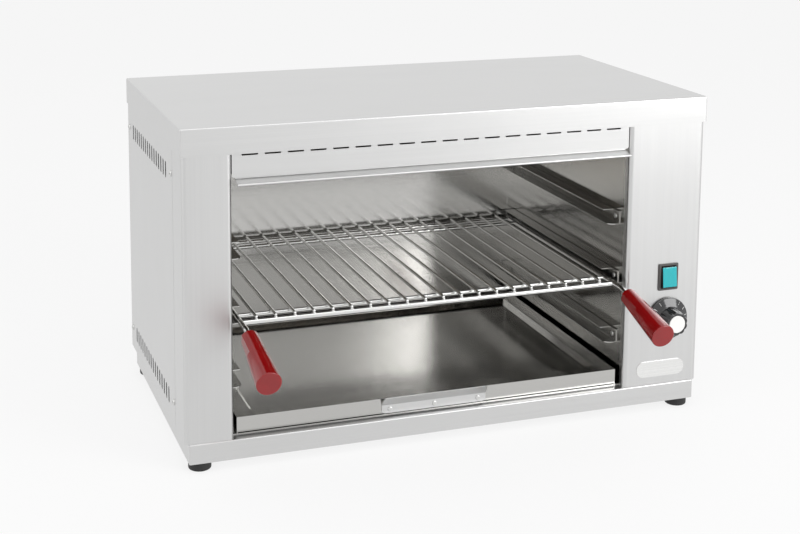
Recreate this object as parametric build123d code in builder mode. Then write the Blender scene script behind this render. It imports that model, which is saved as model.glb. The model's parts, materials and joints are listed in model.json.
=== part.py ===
from build123d import *
import os
from math import cos, radians, sin

os.makedirs("parts", exist_ok=True)

# Counter-top cheese melter. Millimetres, +Z up, front faces -Y, origin under the middle of its box.
# X is measured from the middle of the lid, so left is -X as seen from the front.

# Cabinet
lid_width = 620.0
lid_depth = 322.0
body_height = 364.0  # underside of the plinth to the top of the lid
lid_lip = 30.0
lid_bend = 1.5  # outer radius of the folds of the lid, side and back panels
lid_gap = 0.5  # between the lid's lips and the panels inside them
sheet = 1.0  # thickness of every folded panel
column_width = 53.5  # face of the left front column
control_width = 96.5  # face of the control panel
column_wrap = 48.0  # how far both run back along the cabinet's sides
column_bend = 5.0  # outer radius of their upright edges
cavity_return = 10.0  # how far both turn in beside the opening
seam_gap = 0.5  # open seam between a column and its side panel
lap = 16.0  # flange hidden behind a seam, for the screws
lap_root = 8.0  # part of that flange behind the column itself
panel_flange = 15.0  # folds along the side and back panels
rear_space = 6.5  # cavity back wall to the outside of the back panel
wall_return = 10.0  # side liners' flanges over the back wall

# Plinth and feet
plinth_height = 22.0
plinth_inset = 4.5  # plinth side to the panel face above it
plinth_front_step = 1.0  # plinth face ahead of the columns
plinth_rear_inset = 4.0
plinth_bend = 1.5
plinth_flange = 28.0  # bottom fold that carries the feet
foot_height = 10.0
foot_diameter = 25.0
foot_inset = 14.0  # foot centre to the plinth's outer faces
foot_round = 2.0
foot_recess = 5.0  # counterbore for the screw head
foot_screw_diameter = 5.0

# Upper front panel, its slots and the sloping strip below it
upper_recess = 3.0  # behind the columns' faces
upper_drop = 26.0  # visible below the lid's lip
upper_end_gap = 0.6
upper_corner = 3.0
upper_flange = 12.0
slot_count = 18
slot_end_gap = 20.15  # opening's side to the centre of the outermost slot
slot_length = 18.0
slot_height = 2.2
slot_drop = 1.7  # slot centre below the lid's lip
strip_reach = 13.5  # forward of the upper panel's back face
strip_fall = 4.0
strip_flange = 14.0
strip_end_gap = 4.0
strip_bead = 2.6

# Side vents and the screws that hold the side panels
vent_count = 16
vent_pitch = 13.3
vent_width = 5.5
vent_height = 18.5
vent_low = 47.0  # centre of the lower row above the plinth's underside
vent_drop = 61.0  # centre of the upper row below the lid's top
back_vent_count = 14
side_screw_low = 49.0
side_screw_drop = 59.0  # upper screws below the lid's top
screw_edge = 8.0  # screw centre to the edge of the panel it holds
screw_diameter = 4.0
screw_head = 7.4
screw_head_height = 1.4
screw_length = 9.0
lid_screw_length = 6.0
screw_play = 0.2  # clearance on the screw's radius in a panel
thread_play = 0.05  # clearance on its radius in the flange behind

# Rails
rail_count = 3
rail_pitch = 71.5
rail_low = 71.5  # underside of the lowest rail above the plinth's underside
rail_height = 15.5
rail_flange = 15.0
rail_setback = 19.5  # web and bottom flange behind the columns' faces
rail_top_setback = 32.5
rail_rear_gap = 3.0
rail_corner = 9.0
rivet_shank = 3.0
rivet_head = 5.6
rivet_head_height = 1.2
rivet_play = 0.05
rail_rivet_setback = 9.0  # front rivet behind the rail's front edge
rail_rivet_rear = 25.0

# Grid and handles
rod_diameter = 6.0
wire_diameter = 3.6
bar_diameter = 4.6
bar_sink = 0.3  # bars' tops below the side rods' tops
wire_count = 20
wire_end_gap = 17.3  # side rod to the outermost wire, centre to centre
rail_play = 7.1  # rod to rail web, each side
rail_clearance = 0.1  # running clearance under the rods
grid_setback = 11.5  # front bar behind the columns' faces
grid_rear_gap = 9.0  # rearmost bar to the cavity's back wall
bar_spacing = 21.0
wire_front_overhang = 0.6
wire_rear_overhang = 5.0
handle_bend_reach = 9.5  # bend point ahead of the columns' faces
handle_bend_radius = 30.0
handle_slope = 15.0
handle_gap = 15.6  # bend point to the handle's rear end, along the rod
handle_length = 82.5
handle_front_diameter = 27.0
handle_rear_diameter = 19.0
handle_flat_length = 34.5  # thumb flats on its left and right
handle_flat_width = 17.4  # across the two flats
handle_flat_runout = 1.5
handle_round = 1.2
handle_bore_depth = 54.0

# Crumb tray
tray_side_gap = 5.5
tray_setback = 10.5  # lip behind the columns' faces
tray_rear_gap = 6.0
tray_lip = 17.0
tray_lift = 3.0  # lip's lower edge above the deck
tray_rim = 17.0
tray_slope_run = 6.5
tray_play = 0.2  # tray's walls above the floor liner
pan_depth = 6.5  # rim's top to the underside of the pan pressed into it
pull_width = 125.0
pull_thickness = 1.2
pull_leg = 9.6
pull_flap = 12.0
pull_angle = 35.0  # flap's lean from upright
pull_corner = 4.0
pull_bend = 1.8
pull_rivet_pitch = 53.0
pull_rivet_height = 4.6  # rivet centre above the plate's lower edge

# Heating elements and reflector
reflector_gap = 43.0  # underside of the reflector below the lid's sheet
reflector_hem = 9.0
element_diameter = 8.0
element_count = 3
element_pitch = 88.0
element_legs = 44.0  # distance between the two legs of one element
element_drop = 11.0  # element centre below the reflector
element_left_gap = 20.0  # bend to the left wall
element_tail = 26.0  # leg's end beyond the right wall
bush_diameter = 13.6
bush_flange_diameter = 18.0
bush_flange = 3.0
bush_play = 0.2
pin_diameter = 4.0
pin_length = 11.0
hanger_offset = 60.0  # hanger to the left wall
hanger_width = 14.0
hanger_thickness = 1.5

# Switch
switch_inset = 42.0  # centre to the cabinet's right face
switch_z = 152.0  # centre above the plinth's underside
bezel_width = 25.8
bezel_height = 32.0
bezel_proud = 2.0
bezel_corner = 1.5
switch_body_width = 21.6
switch_body_height = 30.0
switch_body_depth = 24.0
switch_cutout_play = 0.2
rocker_width = 18.3
rocker_radius = 13.3
rocker_pivot = 1.0  # behind the panel's face
rocker_play = 0.6
rocker_proud = 2.8  # rocker's flat face in front of the bezel
rocker_tilt = 5.0  # either way from level
rocker_back = 5.0  # rocker behind its pivot
rocker_pin = 3.0
switch_tab_pitch = 8.0
tab_length = 8.0
tab_width = 6.4
tab_thickness = 0.8

# Knob and regulator
knob_inset = 41.6
knob_z = 101.5
knob_gap = 0.8  # behind the skirt
skirt_diameter = 51.0
skirt_rim = 2.4
skirt_height = 6.0
skirt_wall = 2.0
grip_diameter = 31.0
grip_top_diameter = 27.5
grip_height = 17.0
grip_round = 1.5
grip_foot = 1.5  # skirt's cone ends outside the grip
grip_flutes = 10
flute_radius = 3.0
flute_depth = 1.1
cap_diameter = 20.4
cap_height = 1.4
cap_seat = 1.0
shaft_diameter = 6.0
shaft_play = 0.05
shaft_grip = 12.0  # shaft's end inside the knob, ahead of the panel
regulator_width = 44.0
regulator_height = 50.0
regulator_depth = 34.0
regulator_corner = 3.0
regulator_screw_length = 9.0
regulator_screw_bore = 12.0
regulator_neck = 10.0
regulator_tab_pitch = 13.0
regulator_tab_rows = 32.0
regulator_screw_pitch = 28.0
regulator_screw_diameter = 4.0
regulator_screw_head = 6.6
regulator_screw_head_height = 1.8

# Cable entry, terminals and badge
gland_inset = 46.5  # centre to the cabinet's right face
gland_z = 58.0
gland_bore = 8.4
gland_thread = 16.0
gland_collar = 22.0
gland_collar_length = 6.0
gland_cap_length = 9.0
gland_cap_round = 3.0
gland_cap_step = 1.0
gland_inside = 9.0
gland_nut_thickness = 4.0
terminal_width = 42.0
terminal_depth = 20.0
terminal_height = 18.0
terminal_chamfer = 1.5
terminal_poles = 3
terminal_hole = 4.6
terminal_rear_gap = 60.0
badge_inset = 48.5
badge_z = 41.0
badge_width = 62.0
badge_height = 19.0
badge_thickness = 0.6
badge_corner = 9.0
lid_screw_count = 3
lid_screw_inset = 60.0

# Where the panels stand
handle_end = handle_gap + handle_length
handle_front_radius = handle_front_diameter / 2
handle_tip_centre = lid_gap + sheet - handle_bend_reach - handle_end * cos(radians(handle_slope))
handle_tip = (
    handle_tip_centre
    + handle_round * cos(radians(handle_slope))
    - (handle_front_radius - handle_round) * sin(radians(handle_slope))
    - handle_round
)
gland_reach = lid_depth - lid_gap - sheet + gland_collar_length + gland_cap_length
front = -(handle_tip + gland_reach) / 2  # plane of the lid's front edge
face = front + sheet + lid_gap
rear = front + lid_depth - sheet - lid_gap
right_face = lid_width / 2 - sheet - lid_gap
left_face = -right_face
opening_left = left_face + column_width
opening_right = right_face - control_width
opening_middle = (opening_left + opening_right) / 2
cavity_front = face + cavity_return
cavity_rear = rear - rear_space
base = foot_height
deck = base + plinth_height
lid_top = base + body_height
lid_under = lid_top - sheet
lip_bottom = lid_top - lid_lip
seam = face + column_wrap
panel_front = seam + seam_gap
switch_x = right_face - switch_inset
knob_x = right_face - knob_inset
gland_x = right_face - gland_inset
badge_x = right_face - badge_inset
lap_end = seam + lap
side_screw_heights = (base + side_screw_low, lid_top - side_screw_drop)
vent_heights = (base + vent_low, lid_top - vent_drop)
lid_screw_z = lip_bottom + lid_lip / 2
lid_screw_pitch = lid_width / 2 - lid_screw_inset
reflector_z = lid_under - reflector_gap
element_z = reflector_z - element_drop


def slab(x_range, y_range, z_range, mode=Mode.ADD):
    """Flat plate between two values along each axis."""
    ranges = (x_range, y_range, z_range)
    sizes = [high - low for low, high in ranges]
    centre = [(low + high) / 2 for low, high in ranges]
    with Locations(tuple(centre)):
        Box(*sizes, mode=mode)


def folded_outline(points, bend, side, thickness=sheet):
    """Section of a folded sheet: its outer line with round bends, thickened to one side."""
    with BuildSketch() as section:
        with BuildLine():
            FilletPolyline(*points, radius=bend)
            offset(amount=thickness, side=side)
        make_face()
    return section.sketch


def tab(x, y, z):
    """Flat terminal standing back from y."""
    slab(
        (x - tab_width / 2, x + tab_width / 2),
        (y, y + tab_length),
        (z - tab_thickness / 2, z + tab_thickness / 2),
    )


def save(piece, name):
    """Label one finished piece and write it."""
    piece.part.label = name
    export_step(piece.part, f"parts/{name}.step")


def facing_left(x):
    """Plane whose normal is +X, with its x along Y and its y along Z."""
    return Plane(origin=(x, 0, 0), x_dir=(0, 1, 0), z_dir=(1, 0, 0))


def facing_front(x, z):
    """Plane on the columns' faces at one point, its normal towards the front."""
    return Plane(origin=(x, face, z), x_dir=(1, 0, 0), z_dir=(0, -1, 0))


def facing_back(y):
    """Plane whose normal is +Y, with its x along -X and its y along Z."""
    return Plane(origin=(0, y, 0), x_dir=(-1, 0, 0), z_dir=(0, 1, 0))


def fastener(head_radius, head_height, shank_radius, grip):
    """Domed head on a plain shank along +Z, with the head above the origin."""
    with BuildPart(mode=Mode.PRIVATE) as pin:
        Cylinder(head_radius, head_height, align=(Align.CENTER, Align.CENTER, Align.MIN))
        fillet(pin.edges().sort_by(Axis.Z)[-1], radius=head_height * 0.8)
        Cylinder(shank_radius, grip, align=(Align.CENTER, Align.CENTER, Align.MAX))
    return pin.part


def pan_screw(length):
    """Panel screw with a cross recess in its head."""
    with BuildPart(mode=Mode.PRIVATE) as screw:
        add(fastener(screw_head / 2, screw_head_height, screw_diameter / 2, length))
        with BuildSketch(Plane.XY.offset(screw_head_height)):
            Rectangle(screw_head * 0.5, screw_head * 0.13)
            Rectangle(screw_head * 0.13, screw_head * 0.5)
        extrude(amount=-screw_head_height * 0.6, mode=Mode.SUBTRACT)
    return screw.part


def rivet(grip):
    """Rivet through thin sheets."""
    return fastener(rivet_head / 2, rivet_head_height, rivet_shank / 2, grip)


def place_all(shape, places):
    """Copies of one fastener at every place, each a separate solid."""
    with BuildPart() as group:
        with Locations(*places):
            add(shape)
    return group


# ---- Lid
with BuildPart() as top_cover:
    slab((-lid_width / 2, lid_width / 2), (front, front + lid_depth), (lip_bottom, lid_top))
    fillet(top_cover.edges().filter_by(Axis.Z), radius=lid_bend)
    fillet(top_cover.faces().sort_by(Axis.Z)[-1].edges(), radius=lid_bend)
    offset(amount=-sheet, openings=top_cover.faces().sort_by(Axis.Z)[0])
    with Locations(facing_back(front + lid_depth)):
        with Locations([(x * lid_screw_pitch, lid_screw_z) for x in (-1, 0, 1)]):
            Hole(radius=screw_diameter / 2 + screw_play, depth=2 * sheet)
save(top_cover, "top_cover")


# ---- Front columns
def front_column(outer, inner, hand):
    """Folded upright: cavity return, face, side wrap and the lap flange behind the seam.

    hand is +1 where the outside of the cabinet lies towards +X.
    """
    side = Side.LEFT if hand > 0 else Side.RIGHT
    with BuildPart() as column:
        with BuildSketch(Plane.XY.offset(deck)):
            add(
                folded_outline(
                    [(inner, cavity_front), (inner, face), (outer, face), (outer, seam)],
                    column_bend,
                    side,
                )
            )
        extrude(amount=lid_under - deck)
        lap_x = sorted((outer - hand * sheet, outer - hand * 2 * sheet))
        slab(
            lap_x,
            (seam - lap_root, lap_end),
            (deck + 2 * sheet, lid_under - 2 * sheet),
        )
        with Locations(facing_left(outer)):
            with Locations(
                [(seam + screw_edge, z) for z in side_screw_heights]
            ):
                Cylinder(
                    radius=screw_diameter / 2 + thread_play,
                    height=6 * sheet,
                    mode=Mode.SUBTRACT,
                )
    return column


left_front_column = front_column(left_face, opening_left, -1)
save(left_front_column, "left_front_column")

with BuildPart() as control_panel:
    add(front_column(right_face, opening_right, 1).part)
    slab(
        (switch_x - switch_body_width / 2 - switch_cutout_play,
         switch_x + switch_body_width / 2 + switch_cutout_play),
        (face - sheet, face + 2 * sheet),
        (base + switch_z - switch_body_height / 2 - switch_cutout_play,
         base + switch_z + switch_body_height / 2 + switch_cutout_play),
        mode=Mode.SUBTRACT,
    )
    with Locations(facing_back(face)):
        with Locations((-knob_x, base + knob_z)):
            Cylinder(
                radius=regulator_neck / 2 + screw_play, height=4 * sheet, mode=Mode.SUBTRACT
            )
            with GridLocations(regulator_screw_pitch, 1, 2, 1):
                Cylinder(
                    radius=regulator_screw_diameter / 2 + screw_play,
                    height=4 * sheet,
                    mode=Mode.SUBTRACT,
                )
save(control_panel, "control_panel")


# ---- Side panels
vent_middle = (panel_front + rear) / 2
side_screw_depths = (seam + screw_edge, rear - sheet - screw_edge)


def side_panel(outer, hand):
    """Side wall with folds along its top and foot, two rows of vents and four screw holes."""
    side = Side.LEFT if hand > 0 else Side.RIGHT
    with BuildPart() as panel:
        with BuildSketch(Plane(origin=(0, panel_front, 0), x_dir=(1, 0, 0), z_dir=(0, -1, 0))):
            add(
                folded_outline(
                    [
                        (outer - hand * panel_flange, deck),
                        (outer, deck),
                        (outer, lid_under),
                        (outer - hand * panel_flange, lid_under),
                    ],
                    lid_bend,
                    side,
                )
            )
        extrude(amount=-(rear - panel_front))
        with BuildSketch(facing_left(outer)):
            for height in vent_heights:
                with Locations((vent_middle, height)):
                    with GridLocations(vent_pitch, 1, vent_count, 1):
                        SlotOverall(vent_height, vent_width, rotation=90)
        extrude(amount=3 * sheet, both=True, mode=Mode.SUBTRACT)
        with BuildSketch(facing_left(outer)):
            with Locations([(y, z) for y in side_screw_depths for z in side_screw_heights]):
                Circle(screw_diameter / 2 + screw_play)
        extrude(amount=3 * sheet, both=True, mode=Mode.SUBTRACT)
    return panel


left_side_panel = side_panel(left_face, -1)
save(left_side_panel, "left_side_panel")
right_side_panel = side_panel(right_face, 1)
save(right_side_panel, "right_side_panel")

# ---- Back panel
panel_inside = right_face - sheet
with BuildPart() as back_panel:
    with BuildSketch(Plane.XY.offset(deck + 2 * sheet)):
        add(
            folded_outline(
                [
                    (-panel_inside, rear - panel_flange),
                    (-panel_inside, rear),
                    (panel_inside, rear),
                    (panel_inside, rear - panel_flange),
                ],
                lid_bend,
                Side.RIGHT,
            )
        )
    extrude(amount=lid_under - deck - 4 * sheet)
    with BuildSketch(facing_back(rear)):
        for height in vent_heights:
            with Locations((0, height)):
                with GridLocations(vent_pitch, 1, back_vent_count, 1):
                    SlotOverall(vent_height, vent_width, rotation=90)
        with Locations((-gland_x, base + gland_z)):
            Circle(gland_thread / 2 + screw_play)
        with Locations([(x * lid_screw_pitch, lid_screw_z) for x in (-1, 0, 1)]):
            Circle(screw_diameter / 2 + thread_play)
    extrude(amount=3 * sheet, both=True, mode=Mode.SUBTRACT)
    with BuildSketch(facing_left(0)):
        with Locations([(side_screw_depths[1], z) for z in side_screw_heights]):
            Circle(screw_diameter / 2 + thread_play)
    extrude(amount=lid_width, both=True, mode=Mode.SUBTRACT)
save(back_panel, "back_panel")

# ---- Plinth
plinth_right = right_face - plinth_inset
plinth_front = face - plinth_front_step
plinth_rear = rear - plinth_rear_inset
foot_x = plinth_right - foot_inset
foot_depths = (plinth_front + foot_inset, plinth_rear - foot_inset)
foot_places = [(x, y) for x in (-foot_x, foot_x) for y in foot_depths]
with BuildPart() as plinth:
    slab((-plinth_right, plinth_right), (plinth_front, plinth_rear), (base, deck))
    fillet(plinth.edges().filter_by(Axis.Z), radius=plinth_bend)
    fillet(plinth.faces().sort_by(Axis.Z)[-1].edges(), radius=plinth_bend)
    slab(
        (-plinth_right + sheet, plinth_right - sheet),
        (plinth_front + sheet, plinth_rear - sheet),
        (base + sheet, deck - sheet),
        mode=Mode.SUBTRACT,
    )
    slab(
        (-plinth_right + plinth_flange, plinth_right - plinth_flange),
        (plinth_front + plinth_flange, plinth_rear - plinth_flange),
        (base - sheet, base + 2 * sheet),
        mode=Mode.SUBTRACT,
    )
    with BuildSketch(Plane.XY.offset(base - sheet)):
        with Locations(foot_places):
            Circle(foot_screw_diameter / 2 + screw_play)
    extrude(amount=3 * sheet, mode=Mode.SUBTRACT)
save(plinth, "plinth")

# ---- Feet, their screws and nuts
with BuildPart() as foot:
    Cylinder(
        radius=foot_diameter / 2,
        height=foot_height,
        align=(Align.CENTER, Align.CENTER, Align.MIN),
    )
    fillet(foot.edges().sort_by(Axis.Z)[0], radius=foot_round)
    Cylinder(
        radius=screw_head / 2 + 2 * screw_play,
        height=foot_recess,
        align=(Align.CENTER, Align.CENTER, Align.MIN),
        mode=Mode.SUBTRACT,
    )
    Cylinder(
        radius=foot_screw_diameter / 2 + screw_play,
        height=foot_height,
        align=(Align.CENTER, Align.CENTER, Align.MIN),
        mode=Mode.SUBTRACT,
    )

nut_height = foot_screw_diameter * 0.8
nut_flats = foot_screw_diameter * 1.6
foot_screw_top = base + sheet + nut_height + 1
with BuildPart() as foot_screw:
    with Locations((0, 0, foot_recess - screw_head_height)):
        Cylinder(
            radius=screw_head / 2,
            height=screw_head_height,
            align=(Align.CENTER, Align.CENTER, Align.MIN),
        )
        Cylinder(
            radius=foot_screw_diameter / 2,
            height=foot_screw_top - foot_recess + screw_head_height,
            align=(Align.CENTER, Align.CENTER, Align.MIN),
        )

with BuildPart() as foot_nut:
    with BuildSketch(Plane.XY.offset(base + sheet)):
        RegularPolygon(radius=nut_flats / 2, side_count=6, major_radius=False)
        Circle(foot_screw_diameter / 2 + thread_play, mode=Mode.SUBTRACT)
    extrude(amount=nut_height)

foot_corners = ("front_left", "rear_left", "front_right", "rear_right")
for corner, place in zip(foot_corners, foot_places):
    with BuildPart() as one_foot:
        with Locations(place):
            add(foot.part)
    save(one_foot, f"foot_{corner}")
save(place_all(foot_screw.part, foot_places), "foot_screws")
save(place_all(foot_nut.part, foot_places), "foot_nuts")

# ---- Cavity liner: two walls, back, floor
rail_bottoms = [base + rail_low + level * rail_pitch for level in range(rail_count)]
rail_front = face + rail_setback
rail_rear = cavity_rear - rail_rear_gap
rivet_depths = (rail_front + rail_rivet_setback, rail_rear - rail_rivet_rear)
rivet_heights = [bottom + rail_height / 2 for bottom in rail_bottoms]
element_middle = (cavity_front + cavity_rear) / 2
element_centres = [
    element_middle + (number - (element_count - 1) / 2) * element_pitch
    for number in range(element_count)
]
leg_depths = [y + side * element_legs / 2 for y in element_centres for side in (-1, 1)]


def cavity_wall(inside, hand):
    """Upright liner from the deck to the lid, drilled for the rail rivets.

    Its rear edge turns in along the back wall; hand is +1 on the right wall.
    """
    with BuildPart() as wall:
        slab(
            sorted((inside, inside + hand * sheet)),
            (cavity_front, cavity_rear),
            (deck, lid_under),
        )
        slab(
            sorted((inside, inside - hand * wall_return)),
            (cavity_rear - sheet, cavity_rear),
            (deck + sheet, reflector_z - reflector_hem - sheet),
        )
        with BuildSketch(facing_left(inside)):
            with Locations([(y, z) for y in rivet_depths for z in rivet_heights]):
                Circle(rivet_shank / 2 + rivet_play)
        extrude(amount=3 * sheet, both=True, mode=Mode.SUBTRACT)
    return wall


cavity_left_wall = cavity_wall(opening_left, -1)
save(cavity_left_wall, "cavity_left_wall")
with BuildPart() as cavity_right_wall:
    add(cavity_wall(opening_right, 1).part)
    with BuildSketch(facing_left(opening_right)):
        with Locations([(y, element_z) for y in leg_depths]):
            Circle(bush_diameter / 2 + bush_play)
    extrude(amount=3 * sheet, both=True, mode=Mode.SUBTRACT)
save(cavity_right_wall, "cavity_right_wall")

with BuildPart() as cavity_back_wall:
    slab(
        (opening_left - panel_flange, opening_right + panel_flange),
        (cavity_rear, cavity_rear + sheet),
        (deck, lid_under),
    )
save(cavity_back_wall, "cavity_back_wall")

with BuildPart() as cavity_floor:
    slab(
        (opening_left, opening_right),
        (cavity_front + 2 * sheet, cavity_rear),
        (deck, deck + sheet),
    )
save(cavity_floor, "cavity_floor")


# ---- Rails and their rivets
def rail(bottom, web_x, hand):
    """Channel on one wall, open towards the cavity; hand is +1 on the right wall."""
    tip_x = web_x - hand * rail_flange
    side = Side.LEFT if hand > 0 else Side.RIGHT
    with BuildPart() as channel:
        with BuildSketch(Plane(origin=(0, rail_front, 0), x_dir=(1, 0, 0), z_dir=(0, -1, 0))):
            add(
                folded_outline(
                    [
                        (tip_x, bottom),
                        (web_x, bottom),
                        (web_x, bottom + rail_height),
                        (tip_x, bottom + rail_height),
                    ],
                    lid_bend,
                    side,
                )
            )
        extrude(amount=-(rail_rear - rail_front))
        slab(
            sorted((tip_x - hand * sheet, web_x - hand * (lid_bend + sheet))),
            (rail_front - sheet, face + rail_top_setback),
            (bottom + rail_height / 2, bottom + rail_height + sheet),
            mode=Mode.SUBTRACT,
        )
        low_corner = (
            channel.edges()
            .filter_by(Axis.Z)
            .filter_by_position(Axis.Y, rail_front - 0.1, rail_front + 0.1)
            .filter_by_position(Axis.X, tip_x - 0.1, tip_x + 0.1)
        )
        fillet(low_corner, radius=rail_corner)
        with BuildSketch(facing_left(web_x)):
            with Locations([(y, bottom + rail_height / 2) for y in rivet_depths]):
                Circle(rivet_shank / 2 + rivet_play)
        extrude(amount=3 * sheet, both=True, mode=Mode.SUBTRACT)
    return channel


rail_levels = ("lower", "middle", "upper")
rivet_places = []
for level, bottom in zip(rail_levels, rail_bottoms):
    for hand, side_name, web_x in ((-1, "left", opening_left), (1, "right", opening_right)):
        save(rail(bottom, web_x, hand), f"{side_name}_rail_{level}")
        for depth in rivet_depths:
            head_plane = Plane(
                origin=(web_x - hand * sheet, depth, bottom + rail_height / 2),
                z_dir=(-hand, 0, 0),
            )
            rivet_places.append(head_plane)
save(place_all(rivet(2.5 * sheet), rivet_places), "rail_rivets")

# ---- Upper front panel and the sloping strip below it
upper_face = face + upper_recess
slot_pitch = (opening_right - opening_left - 2 * slot_end_gap) / (slot_count - 1)
upper_bottom = lip_bottom - upper_drop
with BuildPart() as upper_front_panel:
    with BuildSketch(facing_left(opening_left + upper_end_gap)):
        add(
            folded_outline(
                [
                    (upper_face + upper_flange, lid_under),
                    (upper_face, lid_under),
                    (upper_face, upper_bottom),
                ],
                lid_bend,
                Side.LEFT,
            )
        )
    extrude(amount=opening_right - opening_left - 2 * upper_end_gap)
    low_corners = upper_front_panel.edges().filter_by(Axis.Y).group_by(Axis.Z)[0]
    fillet(low_corners, radius=upper_corner)
    with BuildSketch(facing_back(upper_face)):
        with Locations((-opening_middle, lip_bottom - slot_drop)):
            with GridLocations(slot_pitch, 1, slot_count, 1):
                SlotOverall(slot_length, slot_height)
    extrude(amount=3 * sheet, both=True, mode=Mode.SUBTRACT)
save(upper_front_panel, "upper_front_panel")

strip_back = upper_face + 2 * sheet
strip_left = opening_left + strip_end_gap
strip_tip = strip_back - strip_reach
strip_low = upper_bottom - sheet
with BuildPart() as heat_deflector:
    with BuildSketch(facing_left(strip_left)):
        add(
            folded_outline(
                [
                    (strip_back, strip_low + strip_flange),
                    (strip_back, strip_low - sheet),
                    (strip_tip, strip_low - sheet - strip_fall),
                ],
                lid_bend,
                Side.RIGHT,
            )
        )
        with Locations((strip_tip, strip_low - sheet - strip_fall + sheet / 2)):
            Circle(strip_bead / 2)
    extrude(amount=opening_right - opening_left - 2 * strip_end_gap)
save(heat_deflector, "heat_deflector")

# ---- Reflector over the elements
with BuildPart() as element_reflector:
    with BuildSketch(facing_left(opening_left)):
        add(
            folded_outline(
                [
                    (strip_back + 2 * sheet, reflector_z - reflector_hem),
                    (strip_back + 2 * sheet, reflector_z + sheet),
                    (cavity_rear, reflector_z + sheet),
                    (cavity_rear, reflector_z - reflector_hem),
                ],
                lid_bend,
                Side.RIGHT,
            )
        )
    extrude(amount=opening_right - opening_left)
save(element_reflector, "element_reflector")

# ---- Heating elements, bushes, pins and the hanger
element_left = opening_left + element_left_gap + element_legs / 2
element_right = opening_right + element_tail
for number, centre in enumerate(element_centres):
    with BuildPart() as heating_element:
        with BuildLine() as hairpin:
            near_leg = Line(
                (element_right, centre - element_legs / 2, element_z),
                (element_left, centre - element_legs / 2, element_z),
            )
            bend = ThreePointArc(
                near_leg @ 1,
                (element_left - element_legs / 2, centre, element_z),
                (element_left, centre + element_legs / 2, element_z),
            )
            Line(bend @ 1, (element_right, centre + element_legs / 2, element_z))
        with BuildSketch(Plane(origin=near_leg @ 0, z_dir=near_leg % 0)):
            Circle(element_diameter / 2)
        sweep()
    save(heating_element, f"heating_element_{('front', 'middle', 'rear')[number]}")

with BuildPart() as bush:
    Cylinder(
        radius=bush_diameter / 2,
        height=bush_flange + 3 * sheet,
        align=(Align.CENTER, Align.CENTER, Align.MAX),
    )
    Cylinder(
        radius=bush_flange_diameter / 2,
        height=bush_flange,
        align=(Align.CENTER, Align.CENTER, Align.MIN),
    )
    Cylinder(
        radius=element_diameter / 2 + thread_play,
        height=6 * (bush_flange + sheet),
        mode=Mode.SUBTRACT,
    )
bush_places = [
    Plane(origin=(opening_right + sheet, y, element_z), z_dir=(1, 0, 0)) for y in leg_depths
]
save(place_all(bush.part, bush_places), "element_bushes")

with BuildPart() as terminal_pin:
    Cylinder(
        radius=pin_diameter / 2,
        height=pin_length,
        align=(Align.CENTER, Align.CENTER, Align.MIN),
    )
    with Locations((0, 0, pin_length * 0.55)):
        Cylinder(radius=pin_diameter * 0.85, height=pin_length * 0.25)
pin_places = [Plane(origin=(element_right, y, element_z), z_dir=(1, 0, 0)) for y in leg_depths]
save(place_all(terminal_pin.part, pin_places), "element_pins")

with BuildPart() as element_hanger:
    hanger_x = opening_left + hanger_offset
    slab(
        (hanger_x, hanger_x + hanger_thickness),
        (leg_depths[0] - element_diameter, leg_depths[-1] + element_diameter),
        (element_z - element_diameter, reflector_z),
    )
    slab(
        (hanger_x, hanger_x + hanger_width),
        (leg_depths[0] - element_diameter, leg_depths[-1] + element_diameter),
        (reflector_z - hanger_thickness, reflector_z),
    )
    with BuildSketch(facing_left(hanger_x)):
        with Locations([(y, element_z) for y in leg_depths]):
            Circle(element_diameter / 2 + bush_play)
    extrude(amount=6 * sheet, both=True, mode=Mode.SUBTRACT)
save(element_hanger, "element_hanger")

# ---- Grid
rod_x = (opening_right - opening_left) / 2 - sheet - rail_play - rod_diameter / 2
rod_z = rail_bottoms[1] + sheet + rail_clearance + rod_diameter / 2
grid_front = face + grid_setback
grid_rear = cavity_rear - grid_rear_gap
bar_top = rod_z + rod_diameter / 2 - bar_sink
slope = radians(handle_slope)
bend_y = face - handle_bend_reach


def along_handle(distance):
    """Depth and height of a point on the handle's axis, measured from the rod's bend."""
    return bend_y - distance * cos(slope), rod_z - distance * sin(slope)


def cross_bar(y, diameter):
    """Round bar from one side rod to the other."""
    with BuildPart(mode=Mode.PRIVATE) as bar:
        with Locations(Location((opening_middle, y, bar_top - diameter / 2), (0, 90, 0))):
            Cylinder(radius=diameter / 2, height=2 * rod_x)
    return bar.part


def side_rod(hand):
    """Rod along one side, bent down in front to carry a handle."""
    x = opening_middle + hand * rod_x
    with BuildPart(mode=Mode.PRIVATE) as rod:
        with BuildLine():
            path = FilletPolyline(
                (x, grid_rear + rod_diameter / 2, rod_z),
                (x, bend_y, rod_z),
                (x, *along_handle(handle_gap + handle_bore_depth)),
                radius=handle_bend_radius,
            )
        with BuildSketch(Plane(origin=path @ 0, z_dir=path % 0)):
            Circle(rod_diameter / 2)
        sweep(path=path)
    return rod.part


with BuildPart() as grid_frame:
    add(side_rod(-1))
    add(side_rod(1))
    add(cross_bar(grid_front, rod_diameter))
    for y in (grid_front + bar_spacing, grid_rear - bar_spacing, grid_rear):
        add(cross_bar(y, bar_diameter))
save(grid_frame, "grid_frame")

wire_z = bar_top + wire_diameter / 2
wire_front = grid_front - wire_front_overhang
wire_length = grid_rear + wire_rear_overhang - wire_front
wire_pitch = 2 * (rod_x - wire_end_gap) / (wire_count - 1)
with BuildPart() as wire:
    with Locations(Location((0, wire_front + wire_length / 2, wire_z), (90, 0, 0))):
        Cylinder(radius=wire_diameter / 2, height=wire_length)
    fillet(wire.edges().filter_by(GeomType.CIRCLE), radius=wire_diameter * 0.35)
wire_places = [
    (opening_middle + (number - (wire_count - 1) / 2) * wire_pitch, 0, 0)
    for number in range(wire_count)
]
save(place_all(wire.part, wire_places), "grid_wires")


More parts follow.
